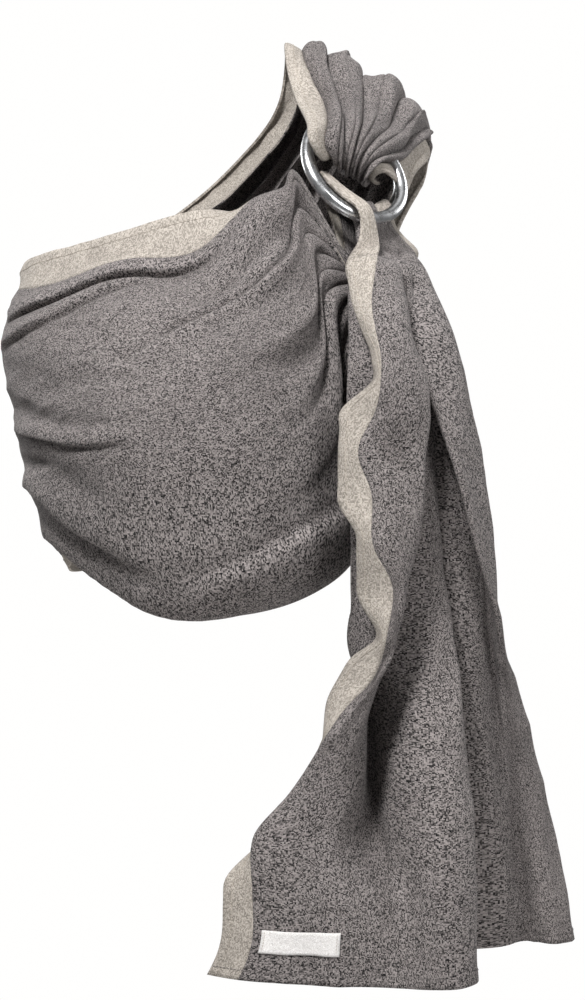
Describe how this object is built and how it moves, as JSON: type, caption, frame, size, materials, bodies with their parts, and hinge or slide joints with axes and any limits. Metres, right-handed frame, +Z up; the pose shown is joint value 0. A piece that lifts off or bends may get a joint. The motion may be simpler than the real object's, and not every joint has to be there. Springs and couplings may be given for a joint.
{
  "type": "ring sling baby carrier",
  "caption": "Woven ring sling shown as worn: pleated shoulder, cloth across the back and round the hip, front seat pouch, metal rings and a hanging tail.",
  "frame": {"origin": "underside of the pleated strap at the crest of the wearer's shoulder", "axes": "+Z up, +Y behind the wearer, +X towards the wearer's left, which is the side the tail hangs on"},
  "size_m": [0.456, 0.3384, 0.7272],
  "materials": {
    "charcoal_cloth": "matte melange weave",
    "natural_border": "matte plain weave",
    "ring_metal": "polished",
    "label_cloth": "matte woven tape",
    "thread": "matte thread"
  },
  "bodies": {
    "sling_loop": {"shoulder_neck_border": "natural_border", "shoulder_pleat_1": "charcoal_cloth", "shoulder_pleat_2": "charcoal_cloth", "shoulder_pleat_3": "charcoal_cloth", "shoulder_pleat_4": "charcoal_cloth", "shoulder_arm_border": "natural_border", "ring_pocket": "charcoal_cloth", "pocket_stitch_row_1": "thread", "pocket_stitch_row_2": "thread", "ring_turn": "charcoal_cloth", "pouch_gather": "charcoal_cloth", "back_top_border": "natural_border", "back_upper_panel": "charcoal_cloth", "back_lower_panel": "charcoal_cloth", "back_bottom_border": "natural_border", "side_wrap": "charcoal_cloth", "pouch_upper_panel": "charcoal_cloth", "pouch_seat_panel": "charcoal_cloth", "pouch_lower_panel": "charcoal_cloth", "pouch_top_border": "natural_border", "pouch_bottom_border": "natural_border"},
    "lower_ring": {"lower_ring": "ring_metal"},
    "upper_ring": {"upper_ring": "ring_metal"},
    "tail_neck": {"tail_neck": "charcoal_cloth"},
    "tail": {"tail_left_border": "natural_border", "tail_front_panel": "charcoal_cloth", "tail_inner_fold": "charcoal_cloth", "tail_outer_panel": "charcoal_cloth", "tail_right_border": "natural_border", "tail_hem": "charcoal_cloth", "tail_hem_stitching": "thread", "label": "label_cloth"}
  },
  "joints": [
    {"name": "lower_ring_lift", "type": "hinge", "parent": "sling_loop", "child": "lower_ring", "pos_m": [0.00026, -0.1027, -0.05838], "axis": [-0.8435, -0.2984, 0.4465], "range_deg": [0, 10]},
    {"name": "upper_ring_turn", "type": "hinge", "parent": "sling_loop", "child": "upper_ring", "pos_m": [-0.00668, -0.10047, -0.07924], "axis": [0.5163, -0.7642, 0.3866], "continuous": true},
    {"name": "tail_swing", "type": "hinge", "parent": "sling_loop", "child": "tail_neck", "pos_m": [0.01045, -0.13474, -0.14352], "axis": [-0.8286, -0.5599, 0], "range_deg": [0, 40]},
    {"name": "tail_pull", "type": "slide", "parent": "tail_neck", "child": "tail", "axis": [0, 0, -1], "range_m": [0, 0.04]}
  ]
}
